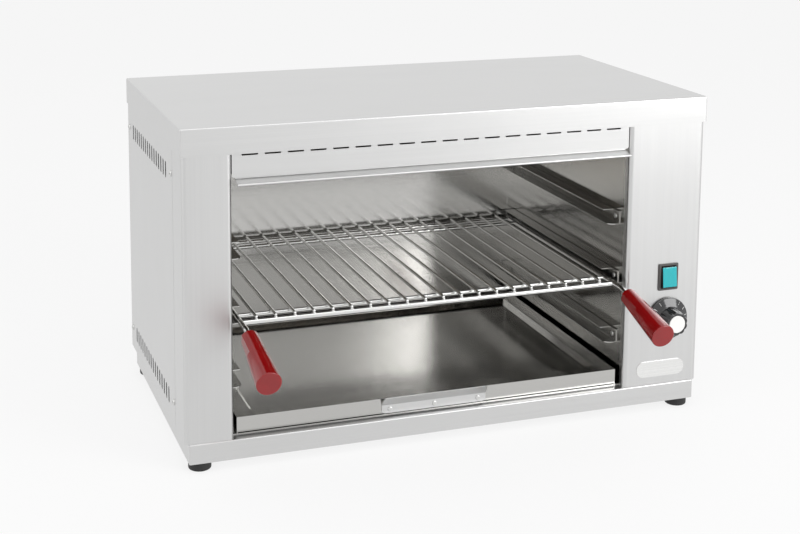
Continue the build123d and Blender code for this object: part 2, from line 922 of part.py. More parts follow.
# ---- Handles
def grid_handle(hand):
    """Tapered bar on the rod, with a flat on each side of its rear part."""
    axis = Vector(0, -cos(slope), -sin(slope))
    origin = (opening_middle + hand * rod_x, *along_handle(handle_gap))
    axis_plane = Plane(origin=origin, x_dir=(1, 0, 0), z_dir=axis)
    side_view = Plane(origin=origin, x_dir=axis, z_dir=axis.cross(Vector(1, 0, 0)))
    with BuildPart() as handle:
        with BuildSketch(axis_plane):
            Circle(handle_rear_diameter / 2)
        with BuildSketch(axis_plane.offset(handle_length)):
            Circle(handle_front_diameter / 2)
        loft()
        with BuildSketch(side_view):
            with BuildLine():
                Polyline(
                    (0, handle_flat_width / 2),
                    (handle_flat_length, handle_flat_width / 2),
                    (handle_flat_length + handle_flat_runout, handle_front_diameter),
                    (0, handle_front_diameter),
                    close=True,
                )
            make_face()
            mirror(about=Plane.XZ)
        extrude(amount=handle_front_diameter, both=True, mode=Mode.SUBTRACT)
        fillet(handle.faces().sort_by(Axis.Y)[0].edges(), radius=handle_round)
        fillet(handle.faces().sort_by(Axis.Y)[-1].edges(), radius=handle_round)
        with BuildSketch(axis_plane):
            Circle(rod_diameter / 2 + thread_play)
        extrude(amount=handle_bore_depth + thread_play, mode=Mode.SUBTRACT)
    return handle


save(grid_handle(-1), "grid_handle_left")
save(grid_handle(1), "grid_handle_right")

# ---- Crumb tray
tray_left = opening_left + tray_side_gap
tray_right = opening_right - tray_side_gap
tray_front = face + tray_setback
tray_rear = cavity_rear - tray_rear_gap
tray_foot = deck + sheet + tray_play
tray_top = deck + tray_lift + tray_lip
pan_bottom = tray_top - pan_depth
tray_width = tray_right - tray_left
tray_depth = tray_rear - tray_front
tray_middle = (tray_front + tray_rear) / 2
pan_inset = 2 * (tray_rim + tray_slope_run)


def pan_sections(level, inset, height):
    """Lower and upper sections of a pan that widens by tray_slope_run over its whole height."""
    spread = 2 * tray_slope_run * height / pan_depth
    width = tray_width - pan_inset - 2 * inset
    depth = tray_depth - pan_inset - 2 * inset
    sections = []
    for rise, growth in ((0, 0), (height, spread)):
        with BuildSketch(Plane.XY.offset(level + rise)) as section:
            with Locations((opening_middle, tray_middle)):
                Rectangle(width + growth, depth + growth)
        sections.append(section.sketch)
    return sections


with BuildPart() as crumb_tray:
    loft(pan_sections(pan_bottom, 0, pan_depth))
    slab((tray_left, tray_right), (tray_front, tray_rear), (tray_top - sheet, tray_top))
    slab((tray_left, tray_right), (tray_front, tray_front + sheet), (deck + tray_lift, tray_top))
    slab((tray_left, tray_right), (tray_rear - sheet, tray_rear), (tray_foot, tray_top))
    for x in (tray_left, tray_right - sheet):
        slab((x, x + sheet), (tray_front, tray_rear), (tray_foot, tray_top))
    wall_slant = sheet * (1 + (tray_slope_run / pan_depth) ** 2) ** 0.5
    floor_inset = wall_slant - sheet * tray_slope_run / pan_depth
    loft(pan_sections(pan_bottom + sheet, floor_inset, pan_depth), mode=Mode.SUBTRACT)
    with BuildSketch(facing_back(tray_front)):
        with Locations((-opening_middle, deck + tray_lift + pull_rivet_height)):
            with GridLocations(pull_rivet_pitch, 1, 3, 1):
                Circle(rivet_shank / 2 + rivet_play)
    extrude(amount=2 * sheet, both=True, mode=Mode.SUBTRACT)
save(crumb_tray, "crumb_tray")

pull_face = tray_front - pull_thickness
pull_low = deck + tray_lift
lean = radians(pull_angle)
with BuildPart() as tray_pull:
    with BuildSketch(facing_left(opening_middle - pull_width / 2)):
        add(
            folded_outline(
                [
                    (pull_face, pull_low),
                    (pull_face, pull_low + pull_leg),
                    (
                        pull_face - pull_flap * sin(lean),
                        pull_low + pull_leg + pull_flap * cos(lean),
                    ),
                ],
                pull_bend,
                Side.RIGHT,
                pull_thickness,
            )
        )
    extrude(amount=pull_width)
    corners = tray_pull.edges().filter_by(GeomType.LINE).filter_by(
        lambda edge: abs(edge.length - pull_thickness) < 0.01
    )
    fillet(corners, radius=pull_corner)
    with BuildSketch(facing_back(tray_front)):
        with Locations((-opening_middle, pull_low + pull_rivet_height)):
            with GridLocations(pull_rivet_pitch, 1, 3, 1):
                Circle(rivet_shank / 2 + rivet_play)
    extrude(amount=2 * pull_thickness, both=True, mode=Mode.SUBTRACT)
save(tray_pull, "tray_pull")

pull_rivet_places = [
    Plane(
        origin=(opening_middle + step * pull_rivet_pitch, pull_face, pull_low + pull_rivet_height),
        z_dir=(0, -1, 0),
    )
    for step in (-1, 0, 1)
]
save(place_all(rivet(pull_thickness + 1.5 * sheet), pull_rivet_places), "tray_rivets")

# ---- Switch
switch_height = base + switch_z
switch_plane = facing_front(switch_x, switch_height)
rocker_centre = (switch_x, face + rocker_pivot, switch_height)
rocker_side = Plane(origin=rocker_centre, x_dir=(0, 1, 0), z_dir=(1, 0, 0))
with BuildPart() as switch_housing:
    with BuildSketch(switch_plane):
        RectangleRounded(bezel_width, bezel_height, bezel_corner)
    extrude(amount=bezel_proud)
    chamfer(switch_housing.faces().sort_by(Axis.Y)[0].edges(), length=bezel_proud * 0.4)
    with BuildSketch(switch_plane):
        Rectangle(switch_body_width, switch_body_height)
    extrude(amount=-switch_body_depth)
    with BuildSketch(rocker_side):
        Circle(rocker_radius + rocker_play)
    extrude(amount=rocker_width / 2 + rocker_play, both=True, mode=Mode.SUBTRACT)
    with BuildSketch(rocker_side):
        Circle(rocker_pin / 2)
    extrude(amount=switch_body_width / 2, both=True)
    for step in (-1, 0, 1):
        tab(switch_x, face + switch_body_depth, switch_height + step * switch_tab_pitch)
save(switch_housing, "switch_housing")

tilt = radians(rocker_tilt)
rest_side = Plane(origin=rocker_centre, x_dir=(0, cos(tilt), -sin(tilt)), z_dir=(1, 0, 0))
rocker_reach = rocker_pivot + bezel_proud + rocker_proud
with BuildPart() as rocker_button:
    with BuildSketch(rest_side):
        Circle(rocker_radius)
        with Locations((-rocker_reach - rocker_radius, 0), (rocker_back + rocker_radius, 0)):
            Rectangle(2 * rocker_radius, 4 * rocker_radius, mode=Mode.SUBTRACT)
        Circle(rocker_pin / 2 + shaft_play, mode=Mode.SUBTRACT)
    extrude(amount=rocker_width / 2, both=True)
save(rocker_button, "rocker_button")

# ---- Regulator, its screws, shaft, knob and cap
knob_height = base + knob_z
knob_plane = facing_front(knob_x, knob_height)
with BuildPart() as regulator:
    with BuildSketch(knob_plane.offset(-sheet)):
        RectangleRounded(regulator_width, regulator_height, regulator_corner)
    extrude(amount=-regulator_depth)
    with BuildSketch(knob_plane.offset(-sheet)):
        Circle(regulator_neck / 2)
    extrude(amount=sheet)
    with BuildSketch(knob_plane):
        Circle(shaft_diameter / 2 + shaft_play)
    extrude(amount=-regulator_depth * 0.6, mode=Mode.SUBTRACT)
    with BuildSketch(knob_plane):
        with GridLocations(regulator_screw_pitch, 1, 2, 1):
            Circle(regulator_screw_diameter / 2 + thread_play)
    extrude(amount=-regulator_screw_bore, mode=Mode.SUBTRACT)
    for row in (-0.5, 0.5):
        for column in (-1, 0, 1):
            tab(
                knob_x + column * regulator_tab_pitch,
                face + sheet + regulator_depth,
                knob_height + row * regulator_tab_rows,
            )
save(regulator, "regulator")

with BuildPart() as regulator_screws:
    with BuildSketch(knob_plane):
        with GridLocations(regulator_screw_pitch, 1, 2, 1):
            Circle(regulator_screw_head / 2)
    extrude(amount=regulator_screw_head_height)
    with BuildSketch(knob_plane):
        with GridLocations(regulator_screw_pitch, 1, 2, 1):
            Circle(regulator_screw_diameter / 2)
    extrude(amount=-regulator_screw_length)
save(regulator_screws, "regulator_screws")

with BuildPart() as knob_shaft:
    with BuildSketch(knob_plane.offset(shaft_grip)):
        Circle(shaft_diameter / 2)
    extrude(amount=-(shaft_grip + regulator_depth * 0.5))
save(knob_shaft, "knob_shaft")

knob_base = knob_plane.offset(knob_gap)
skirt_top = knob_gap + skirt_height
with BuildPart() as knob:
    with BuildSketch(Plane(origin=knob_plane.origin, x_dir=(1, 0, 0), z_dir=(0, 0, 1))):
        with BuildLine():
            Polyline(
                (0, -knob_gap),
                (skirt_diameter / 2, -knob_gap),
                (skirt_diameter / 2, -knob_gap - skirt_rim),
                (grip_diameter / 2 + grip_foot, -skirt_top),
                (grip_diameter / 2, -skirt_top),
                (grip_top_diameter / 2, -skirt_top - grip_height),
                (0, -skirt_top - grip_height),
                close=True,
            )
        make_face()
    revolve(axis=Axis(knob_plane.origin, (0, 1, 0)))
    top_edge = knob.edges().filter_by(GeomType.CIRCLE).sort_by(Axis.Y)[0]
    fillet(top_edge, radius=grip_round)
    with BuildSketch(knob_base.offset(skirt_height + 0.5)):
        with PolarLocations(grip_diameter / 2 + flute_radius - flute_depth, grip_flutes):
            Circle(flute_radius)
    extrude(amount=grip_height, mode=Mode.SUBTRACT)
    with BuildSketch(knob_base):
        Circle(skirt_diameter / 2 - skirt_wall)
        Circle(shaft_diameter, mode=Mode.SUBTRACT)
    extrude(amount=skirt_rim + 0.2, mode=Mode.SUBTRACT)
    with BuildSketch(knob_plane):
        Circle(shaft_diameter / 2 + thread_play)
    extrude(amount=shaft_grip + 0.5, mode=Mode.SUBTRACT)
    with BuildSketch(knob_plane.offset(skirt_top + grip_height)):
        Circle(cap_diameter / 2 + thread_play)
    extrude(amount=-cap_seat, mode=Mode.SUBTRACT)
save(knob, "knob")

with BuildPart() as knob_cap:
    with BuildSketch(knob_plane.offset(skirt_top + grip_height - cap_seat)):
        Circle(cap_diameter / 2)
    extrude(amount=cap_height)
    fillet(knob_cap.edges().filter_by(GeomType.CIRCLE).sort_by(Axis.Y)[0], radius=0.5)
save(knob_cap, "knob_cap")

# ---- Cable entry
gland_height = base + gland_z
gland_plane = Plane(origin=(gland_x, rear, gland_height), x_dir=(1, 0, 0), z_dir=(0, 1, 0))
with BuildPart() as gland_body:
    with BuildSketch(gland_plane):
        RegularPolygon(radius=gland_collar / 2, side_count=6, major_radius=False)
    extrude(amount=gland_collar_length)
    with BuildSketch(gland_plane):
        Circle(gland_thread / 2)
    extrude(amount=-sheet - gland_inside)
    with BuildSketch(gland_plane.offset(gland_collar_length)):
        Circle(gland_bore / 2)
    extrude(amount=-gland_collar_length - sheet - gland_inside, mode=Mode.SUBTRACT)
save(gland_body, "gland_body")

with BuildPart() as gland_cap:
    with BuildSketch(gland_plane.offset(gland_collar_length)):
        Circle(gland_collar / 2 - gland_cap_step)
    extrude(amount=gland_cap_length)
    fillet(gland_cap.edges().filter_by(GeomType.CIRCLE).sort_by(Axis.Y)[-1], radius=gland_cap_round)
    with BuildSketch(gland_plane.offset(gland_collar_length)):
        Circle(gland_bore / 2)
    extrude(amount=gland_cap_length, mode=Mode.SUBTRACT)
save(gland_cap, "gland_cap")

with BuildPart() as gland_nut:
    with BuildSketch(gland_plane.offset(-sheet)):
        RegularPolygon(radius=gland_collar / 2, side_count=6, major_radius=False)
        Circle(gland_thread / 2 + thread_play, mode=Mode.SUBTRACT)
    extrude(amount=-gland_nut_thickness)
save(gland_nut, "gland_nut")

# ---- Terminal block on the deck
block_rear = rear - terminal_rear_gap
with BuildPart() as terminal_block:
    slab(
        (gland_x - terminal_width / 2, gland_x + terminal_width / 2),
        (block_rear - terminal_depth, block_rear),
        (deck, deck + terminal_height),
    )
    chamfer(terminal_block.faces().sort_by(Axis.Z)[-1].edges(), length=terminal_chamfer)
    with BuildSketch(facing_back(block_rear)):
        with Locations((-gland_x, deck + terminal_height * 0.45)):
            with GridLocations(terminal_width / terminal_poles, 1, terminal_poles, 1):
                Circle(terminal_hole / 2)
    extrude(amount=-terminal_depth, mode=Mode.SUBTRACT)
save(terminal_block, "terminal_block")

# ---- Blank badge plate
with BuildPart() as badge_plate:
    with BuildSketch(facing_front(badge_x, base + badge_z)):
        RectangleRounded(badge_width, badge_height, badge_corner)
    extrude(amount=badge_thickness)
save(badge_plate, "badge_plate")

# ---- Panel screws
side_screw_places = [
    Plane(origin=(hand * right_face, y, z), z_dir=(hand, 0, 0))
    for hand in (-1, 1)
    for y in side_screw_depths
    for z in side_screw_heights
]
save(place_all(pan_screw(screw_length), side_screw_places), "side_screws")
lid_screw_places = [
    Plane(origin=(step * lid_screw_pitch, front + lid_depth, lid_screw_z), z_dir=(0, 1, 0))
    for step in (-1, 0, 1)
]
save(place_all(pan_screw(lid_screw_length), lid_screw_places), "lid_screws")
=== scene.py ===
import json
import math

import bmesh
import bpy
import numpy as np
from mathutils import Matrix, Vector


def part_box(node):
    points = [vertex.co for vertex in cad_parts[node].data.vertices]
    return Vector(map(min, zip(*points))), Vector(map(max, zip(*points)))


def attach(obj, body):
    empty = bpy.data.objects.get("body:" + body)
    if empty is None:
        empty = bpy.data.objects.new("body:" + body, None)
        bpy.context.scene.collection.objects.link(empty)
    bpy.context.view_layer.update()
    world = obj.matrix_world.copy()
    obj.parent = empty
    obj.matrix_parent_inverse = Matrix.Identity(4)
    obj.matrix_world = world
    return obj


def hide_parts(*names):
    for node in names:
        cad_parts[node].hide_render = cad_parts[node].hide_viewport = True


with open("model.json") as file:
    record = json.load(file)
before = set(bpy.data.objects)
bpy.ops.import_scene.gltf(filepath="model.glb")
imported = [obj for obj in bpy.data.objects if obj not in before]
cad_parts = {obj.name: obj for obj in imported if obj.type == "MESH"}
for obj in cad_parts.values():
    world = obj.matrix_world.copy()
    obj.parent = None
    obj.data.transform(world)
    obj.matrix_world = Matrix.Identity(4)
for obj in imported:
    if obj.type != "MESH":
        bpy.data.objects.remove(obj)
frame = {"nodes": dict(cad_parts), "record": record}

bl_info = {
    "name": "Cheese melter",
    "version": (1, 0, 0),
    "blender": (4, 5, 0),
    "location": "View3D > Sidebar > Melter",
    "description": "Finishes and detail for a counter-top cheese melter",
    "category": "Object",
}

NODES = frame["nodes"]
JOINTS = {joint["name"]: joint for joint in frame["record"]["behaviour"]["joints"]}
ROCKER = JOINTS["rocker_tilt"]
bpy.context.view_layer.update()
MM = 0.001

# Turns that bring a sheet's or wire's own brushing direction to X
ALONG_X = (0, 0, 0)
ALONG_Y = (0, 0, math.radians(90))
UPRIGHT = (0, math.radians(90), 0)

# Grid, in millimetres
WIRE_COUNT = 20
WIRE_OVERHANG = 0.6  # wires' front ends ahead of the front bar's centre
REAR_BAR_INSET = 3.0  # rear bar's centre ahead of the frame's rear end
BAR_SPACING = 21.0  # outer bar to the bar beside it
WELD_RISE = 0.1  # welds' centres above the wires' undersides
WELD_HALF_HEIGHT = 0.9

# Knob, in millimetres; distances along the axis count from the side that faces the panel
SHAFT_RADIUS = 3.05
SHAFT_DEPTH = 11.7
HUB_RADIUS = 6.0
SKIRT_HOLLOW = 2.6
SKIRT_WALL = 2.0
SKIRT_RIM = 2.4
CONE_END = (17.2, 5.7)  # radius and distance where the skirt's cone ends
GRIP_FOOT = (15.5, 6.1)
GRIP_TOP_RADIUS = 13.75
CAP_SEAT_DEPTH = 1.0
CAP_PLAY = 0.05
KNOB_ROUND = 0.9
KNOB_SEGMENTS = 160
FLUTE_DEPTH = 1.1
FLUTE_START = 6.4
FLUTE_RUN_IN = 1.2
FLUTE_RIM = 0.4  # plain ring round the cap's seat
FLUTE_FADE = 1.0
MARK_RING = (3.0, 4.6)
MARK_COUNT = 16
MARK_ARC = 0.8  # share of the full turn that has marks
MARK_WIDTH = 0.07  # share of one step between marks
MARK_COLOUR = (0.75, 0.75, 0.73)

# Rocker's lens, in millimetres
LENS_MARGIN = 0.3  # both sides together
LENS_HEIGHT = 23.4
LENS_FACE = 5.72  # rocker's flat face from its pivot
LENS_EDGE = 0.6
LENS_RIB = 0.07
LENS_POINTS = 121

# Stage, in metres
FLOOR_RADIUS = 9
FLOOR_SIDES = 96

# Camera solved from the photograph, which is 800 x 534 pixels
PHOTO_WIDTH = 800
PHOTO_HEIGHT = 534
OPTICAL_CENTRE = (356.33, 34.49)  # pixel on the lens's axis
CAMERA_ANGLES = (18.537, 8.207, 0.209)  # yaw towards +X, pitch down and roll, in degrees
CAMERA_X = -0.60644
CAMERA_AHEAD = 1.45273  # camera in front of the lid's front edge
CAMERA_Z = 0.68543
SENSOR_WIDTH = 36


# ---- Surfaces, each worked out as whole arrays


def softened(points, radius, steps=5):
    """Open profile with each inner corner replaced by a quadratic curve.

    Along the corner P the curve is (1-t)^2 A + 2 t (1-t) P + t^2 B, where A and B lie radius away
    from P on its two runs, or half a run away where a run is short.
    """
    p = np.asarray(points, float)
    before = p[:-2] - p[1:-1]
    after = p[2:] - p[1:-1]
    run_before = np.linalg.norm(before, axis=1, keepdims=True)
    run_after = np.linalg.norm(after, axis=1, keepdims=True)
    reach = np.minimum(radius, 0.49 * np.minimum(run_before, run_after))
    start = p[1:-1] + before / run_before * reach
    end = p[1:-1] + after / run_after * reach
    t = np.linspace(0, 1, steps)[None, :, None]
    curve = (1 - t) ** 2 * start[:, None] + 2 * t * (1 - t) * p[1:-1, None] + t**2 * end[:, None]
    return np.vstack([p[:1], curve.reshape(-1, 2), p[-1:]])


def grid_faces(rows, columns, closed=False, offset=0):
    """Quads between neighbouring rows and columns of a grid of points, numbered row by row.

    The quad at (i, j) joins (i, j), (i, j+1), (i+1, j+1), (i+1, j); closed joins the last column
    to the first.
    """
    i = np.arange(rows - 1)[:, None]
    j = np.arange(columns if closed else columns - 1)[None, :]
    k = (j + 1) % columns
    row, following = i * columns, (i + 1) * columns
    quads = np.stack([row + j, row + k, following + k, following + j], -1)
    return quads.reshape(-1, 4) + offset


def make_piece(name, points, faces, body, material, around=None):
    """Smooth mesh object from arrays of points in millimetres and faces, riding on one body.

    around holds the UV of each point, where the material needs it.
    """
    mesh = bpy.data.meshes.new(name)
    mesh.from_pydata((np.asarray(points) * MM).tolist(), [], [list(map(int, f)) for f in faces])
    mesh.validate()
    mesh.update()
    mesh.polygons.foreach_set("use_smooth", np.full(len(mesh.polygons), True))
    if around is not None:
        layer = mesh.uv_layers.new(name="UVMap")
        corner = np.empty(len(mesh.loops), np.int32)
        mesh.loops.foreach_get("vertex_index", corner)
        layer.data.foreach_set("uv", around[corner].astype(np.float32).ravel())
    piece = bpy.data.objects.new(name, mesh)
    bpy.context.scene.collection.objects.link(piece)
    piece.data.materials.append(material)
    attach(piece, body)
    return piece


def turned(profile, origin, axis, segments=96, ripple=None):
    """Surface of revolution: point = origin + d axis + r(u, v) (cos v side + sin v up).

    profile holds (r, d) pairs in millimetres; ripple(r, d, v) gives r(u, v). Rows whose r is zero
    close the surface on the axis.
    """
    profile = np.asarray(profile, float)
    axis = np.asarray(axis, float) / np.linalg.norm(axis)
    side = np.cross(axis, (0.0, 0.0, 1.0)) if abs(axis[2]) < 0.9 else np.array((1.0, 0.0, 0.0))
    side = side / np.linalg.norm(side)
    up = np.cross(side, axis)
    v = np.linspace(0, 2 * np.pi, segments, endpoint=False)[None, :]
    r = profile[:, :1] + 0 * v
    d = profile[:, 1:] + 0 * v
    if ripple is not None:
        r = ripple(r, d, v)
    points = (
        np.asarray(origin, float)
        + d[..., None] * axis
        + (r * np.cos(v))[..., None] * side
        + (r * np.sin(v))[..., None] * up
    )
    faces = grid_faces(len(profile), segments, closed=True)
    around = np.stack([(v / (2 * np.pi)) + 0 * r, d], -1).reshape(-1, 2)
    return points.reshape(-1, 3), faces, around


def close_ends(piece):
    """Merges points that coincide, at poles and where two skins meet, and turns the faces out."""
    shape = bmesh.new()
    shape.from_mesh(piece.data)
    bmesh.ops.remove_doubles(shape, verts=shape.verts, dist=1e-6)
    bmesh.ops.recalc_face_normals(shape, faces=shape.faces)
    shape.to_mesh(piece.data)
    shape.free()


def beads(centres, radii, rings=5, segments=10):
    """Small ellipsoids at every centre: c + (a sin p cos q, b sin p sin q, c cos p)."""
    p = np.linspace(0, np.pi, rings)[:, None]
    q = np.linspace(0, 2 * np.pi, segments, endpoint=False)[None, :]
    unit = np.stack([np.sin(p) * np.cos(q), np.sin(p) * np.sin(q), np.cos(p) + 0 * q], -1).reshape(-1, 3)
    centres = np.asarray(centres, float)
    points = centres[:, None, :] + unit[None] * np.asarray(radii, float)
    one = grid_faces(rings, segments, closed=True)
    faces = (one[None] + (np.arange(len(centres)) * len(unit))[:, None, None]).reshape(-1, 4)
    return points.reshape(-1, 3), faces


# ---- Node groups


def new_group(name, inputs, outputs):
    """Empty shader group with float or colour sockets, and its input and output nodes."""
    group = bpy.data.node_groups.new(name, "ShaderNodeTree")
    for label, kind, default in inputs:
        socket = group.interface.new_socket(label, in_out="INPUT", socket_type=kind)
        socket.default_value = default
    for label, kind in outputs:
        group.interface.new_socket(label, in_out="OUTPUT", socket_type=kind)
    return group, group.nodes.new("NodeGroupInput"), group.nodes.new("NodeGroupOutput")


def math_node(tree, operation, first, second=0.0, third=None, clamp=False):
    """One Math node with each input linked or set."""
    node = tree.nodes.new("ShaderNodeMath")
    node.operation = operation
    node.use_clamp = clamp
    for socket, value in zip(node.inputs, (first, second, third)):
        if value is None:
            continue
        if hasattr(value, "is_output"):
            tree.links.new(value, socket)
        else:
            socket.default_value = value
    return node.outputs[0]


def noise_node(tree, vector, scale, detail=2.0, roughness=0.5):
    """Noise texture's value over a vector."""
    node = tree.nodes.new("ShaderNodeTexNoise")
    node.inputs["Scale"].default_value = scale
    node.inputs["Detail"].default_value = detail
    node.inputs["Roughness"].default_value = roughness
    tree.links.new(vector, node.inputs["Vector"])
    return node.outputs["Fac"]


def mapping_node(tree, vector, scale, rotation=(0, 0, 0)):
    """Vector scaled and turned."""
    node = tree.nodes.new("ShaderNodeMapping")
    node.inputs["Scale"].default_value = scale
    node.inputs["Rotation"].default_value = rotation
    tree.links.new(vector, node.inputs["Vector"])
    return node.outputs["Vector"]


def mix_colour(tree, factor, first, second, blend="MIX"):
    """Colour mix with each input linked or set."""
    node = tree.nodes.new("ShaderNodeMix")
    node.data_type = "RGBA"
    node.blend_type = blend
    for socket, value in ((node.inputs[0], factor), (node.inputs[6], first), (node.inputs[7], second)):
        if hasattr(value, "is_output"):
            tree.links.new(value, socket)
        else:
            socket.default_value = value
    return node.outputs[2]


def build_grain_group():
    """Brushing: long fine scratches along one axis, patches of polish and a few wiping marks."""
    group, source, result = new_group(
        "brushed grain",
        [
            ("Vector", "NodeSocketVector", (0, 0, 0)),
            ("Colour", "NodeSocketColor", (0.6, 0.6, 0.6, 1)),
            ("Roughness", "NodeSocketFloat", 0.3),
            ("Grain", "NodeSocketFloat", 1.0),
            ("Smears", "NodeSocketFloat", 1.0),
        ],
        [
            ("Colour", "NodeSocketColor"),
            ("Roughness", "NodeSocketFloat"),
            ("Height", "NodeSocketFloat"),
        ],
    )
    vector = source.outputs["Vector"]
    fine = noise_node(group, mapping_node(group, vector, (6, 2600, 2600)), 1.0, 3.0, 0.6)
    broad = noise_node(group, mapping_node(group, vector, (2, 420, 420)), 1.0, 2.0, 0.5)
    patch = noise_node(group, vector, 7.0, 3.0, 0.55)
    smear = noise_node(group, mapping_node(group, vector, (9, 26, 26), (0.3, 0.2, 0.5)), 1.0, 4.0, 0.6)
    fine_share = math_node(group, "MULTIPLY", fine, 0.65)
    broad_share = math_node(group, "MULTIPLY", broad, 0.35)
    scratches = math_node(group, "ADD", fine_share, broad_share)
    centred = math_node(group, "SUBTRACT", scratches, 0.5)
    grain = math_node(group, "MULTIPLY", centred, source.outputs["Grain"])
    swing = math_node(group, "SUBTRACT", smear, 0.5)
    smears = math_node(group, "MULTIPLY", swing, source.outputs["Smears"])
    cloud = math_node(group, "SUBTRACT", patch, 0.5)
    rough = math_node(group, "MULTIPLY_ADD", grain, 0.30, source.outputs["Roughness"])
    rough = math_node(group, "MULTIPLY_ADD", smears, 0.10, rough)
    rough = math_node(group, "MULTIPLY_ADD", cloud, 0.04, rough, clamp=True)
    shade = math_node(group, "MULTIPLY_ADD", grain, 0.22, 1.0)
    shade = math_node(group, "MULTIPLY_ADD", cloud, 0.05, shade)
    tone = group.nodes.new("ShaderNodeCombineColor")
    for socket in tone.inputs[:3]:
        group.links.new(shade, socket)
    colour = mix_colour(group, 1.0, source.outputs["Colour"], tone.outputs[0], "MULTIPLY")
    group.links.new(colour, result.inputs["Colour"])
    group.links.new(rough, result.inputs["Roughness"])
    group.links.new(scratches, result.inputs["Height"])
    return group


def build_mould_group():
    """Moulded surface: slight orange peel, faint clouds in the colour and a few fine scuffs."""
    group, source, result = new_group(
        "moulded skin",
        [
            ("Vector", "NodeSocketVector", (0, 0, 0)),
            ("Colour", "NodeSocketColor", (0.5, 0.5, 0.5, 1)),
            ("Roughness", "NodeSocketFloat", 0.3),
            ("Cloud", "NodeSocketFloat", 1.0),
            ("Scale", "NodeSocketFloat", 1.0),
        ],
        [
            ("Colour", "NodeSocketColor"),
            ("Roughness", "NodeSocketFloat"),
            ("Height", "NodeSocketFloat"),
        ],
    )
    scaled = group.nodes.new("ShaderNodeVectorMath")
    scaled.operation = "SCALE"
    group.links.new(source.outputs["Vector"], scaled.inputs[0])
    group.links.new(source.outputs["Scale"], scaled.inputs["Scale"])
    vector = scaled.outputs[0]
    peel = noise_node(group, vector, 900.0, 2.0)
    cloud = noise_node(group, vector, 60.0, 3.0)
    scuff = noise_node(group, mapping_node(group, vector, (900, 60, 900), (0.4, 0.1, 0.8)), 1.0, 3.0, 0.7)
    swing = math_node(group, "MULTIPLY", math_node(group, "SUBTRACT", cloud, 0.5), source.outputs["Cloud"])
    shade = math_node(group, "MULTIPLY_ADD", swing, 0.5, 1.0)
    tone = group.nodes.new("ShaderNodeCombineColor")
    for socket in tone.inputs[:3]:
        group.links.new(shade, socket)
    colour = mix_colour(group, 1.0, source.outputs["Colour"], tone.outputs[0], "MULTIPLY")
    scuffs = math_node(group, "SUBTRACT", scuff, 0.5)
    rough = math_node(group, "MULTIPLY_ADD", scuffs, 0.16, source.outputs["Roughness"])
    rough = math_node(group, "MULTIPLY_ADD", swing, 0.08, rough, clamp=True)
    group.links.new(colour, result.inputs["Colour"])
    group.links.new(rough, result.inputs["Roughness"])
    group.links.new(peel, result.inputs["Height"])
    return group


# ---- Materials


def start_material(name):
    """Material with a Principled shader; returns it with its tree, shader and Object vector."""
    material = bpy.data.materials.new(name)
    material.use_nodes = True
    tree = material.node_tree
    shader = next(node for node in tree.nodes if node.type == "BSDF_PRINCIPLED")
    place = tree.nodes.new("ShaderNodeTexCoord")
    return material, tree, shader, place.outputs["Object"]


def bump(tree, shader, height, distance):
    """Bump node from a height texture, of which one unit stands for distance in metres."""
    node = tree.nodes.new("ShaderNodeBump")
    node.inputs["Distance"].default_value = distance
    tree.links.new(height, node.inputs["Height"])
    tree.links.new(node.outputs["Normal"], shader.inputs["Normal"])


def steel(name, colour, roughness, grain, smears, turn=ALONG_X, relief=0.00001, tint=None):
    """Stainless sheet brushed along X, or along the axis that turn brings to X.

    tint, as (z from, z to, colour), adds the straw to brown of heated steel, fading in between
    the two heights.
    """
    material, tree, shader, vector = start_material(name)
    along = mapping_node(tree, vector, (1, 1, 1), turn)
    node = tree.nodes.new("ShaderNodeGroup")
    node.node_tree = bpy.data.node_groups["brushed grain"]
    tree.links.new(along, node.inputs["Vector"])
    node.inputs["Colour"].default_value = (*colour, 1)
    node.inputs["Roughness"].default_value = roughness
    node.inputs["Grain"].default_value = grain
    node.inputs["Smears"].default_value = smears
    finish = node.outputs["Colour"]
    if tint is not None:
        low, high, heat = tint
        split = tree.nodes.new("ShaderNodeSeparateXYZ")
        tree.links.new(vector, split.inputs[0])
        ramp = tree.nodes.new("ShaderNodeMapRange")
        ramp.inputs["From Min"].default_value = low
        ramp.inputs["From Max"].default_value = high
        tree.links.new(split.outputs["Z"], ramp.inputs["Value"])
        cloud = noise_node(tree, vector, 9.0, 3.0)
        amount = math_node(tree, "MULTIPLY", ramp.outputs[0], cloud, clamp=True)
        finish = mix_colour(tree, amount, finish, (*heat, 1))
    tree.links.new(finish, shader.inputs["Base Color"])
    tree.links.new(node.outputs["Roughness"], shader.inputs["Roughness"])
    shader.inputs["Metallic"].default_value = 1.0
    bump(tree, shader, node.outputs["Height"], relief)
    return material


def moulded(name, colour, roughness, cloud=0.3, scale=1.0, relief=0.00002, coat=0.0):
    """Moulded plastic, phenolic, rubber or ceramic."""
    material, tree, shader, vector = start_material(name)
    node = tree.nodes.new("ShaderNodeGroup")
    node.node_tree = bpy.data.node_groups["moulded skin"]
    tree.links.new(vector, node.inputs["Vector"])
    node.inputs["Colour"].default_value = (*colour, 1)
    node.inputs["Roughness"].default_value = roughness
    node.inputs["Cloud"].default_value = cloud
    node.inputs["Scale"].default_value = scale
    tree.links.new(node.outputs["Colour"], shader.inputs["Base Color"])
    tree.links.new(node.outputs["Roughness"], shader.inputs["Roughness"])
    shader.inputs["Coat Weight"].default_value = coat
    bump(tree, shader, node.outputs["Height"], relief)
    return material


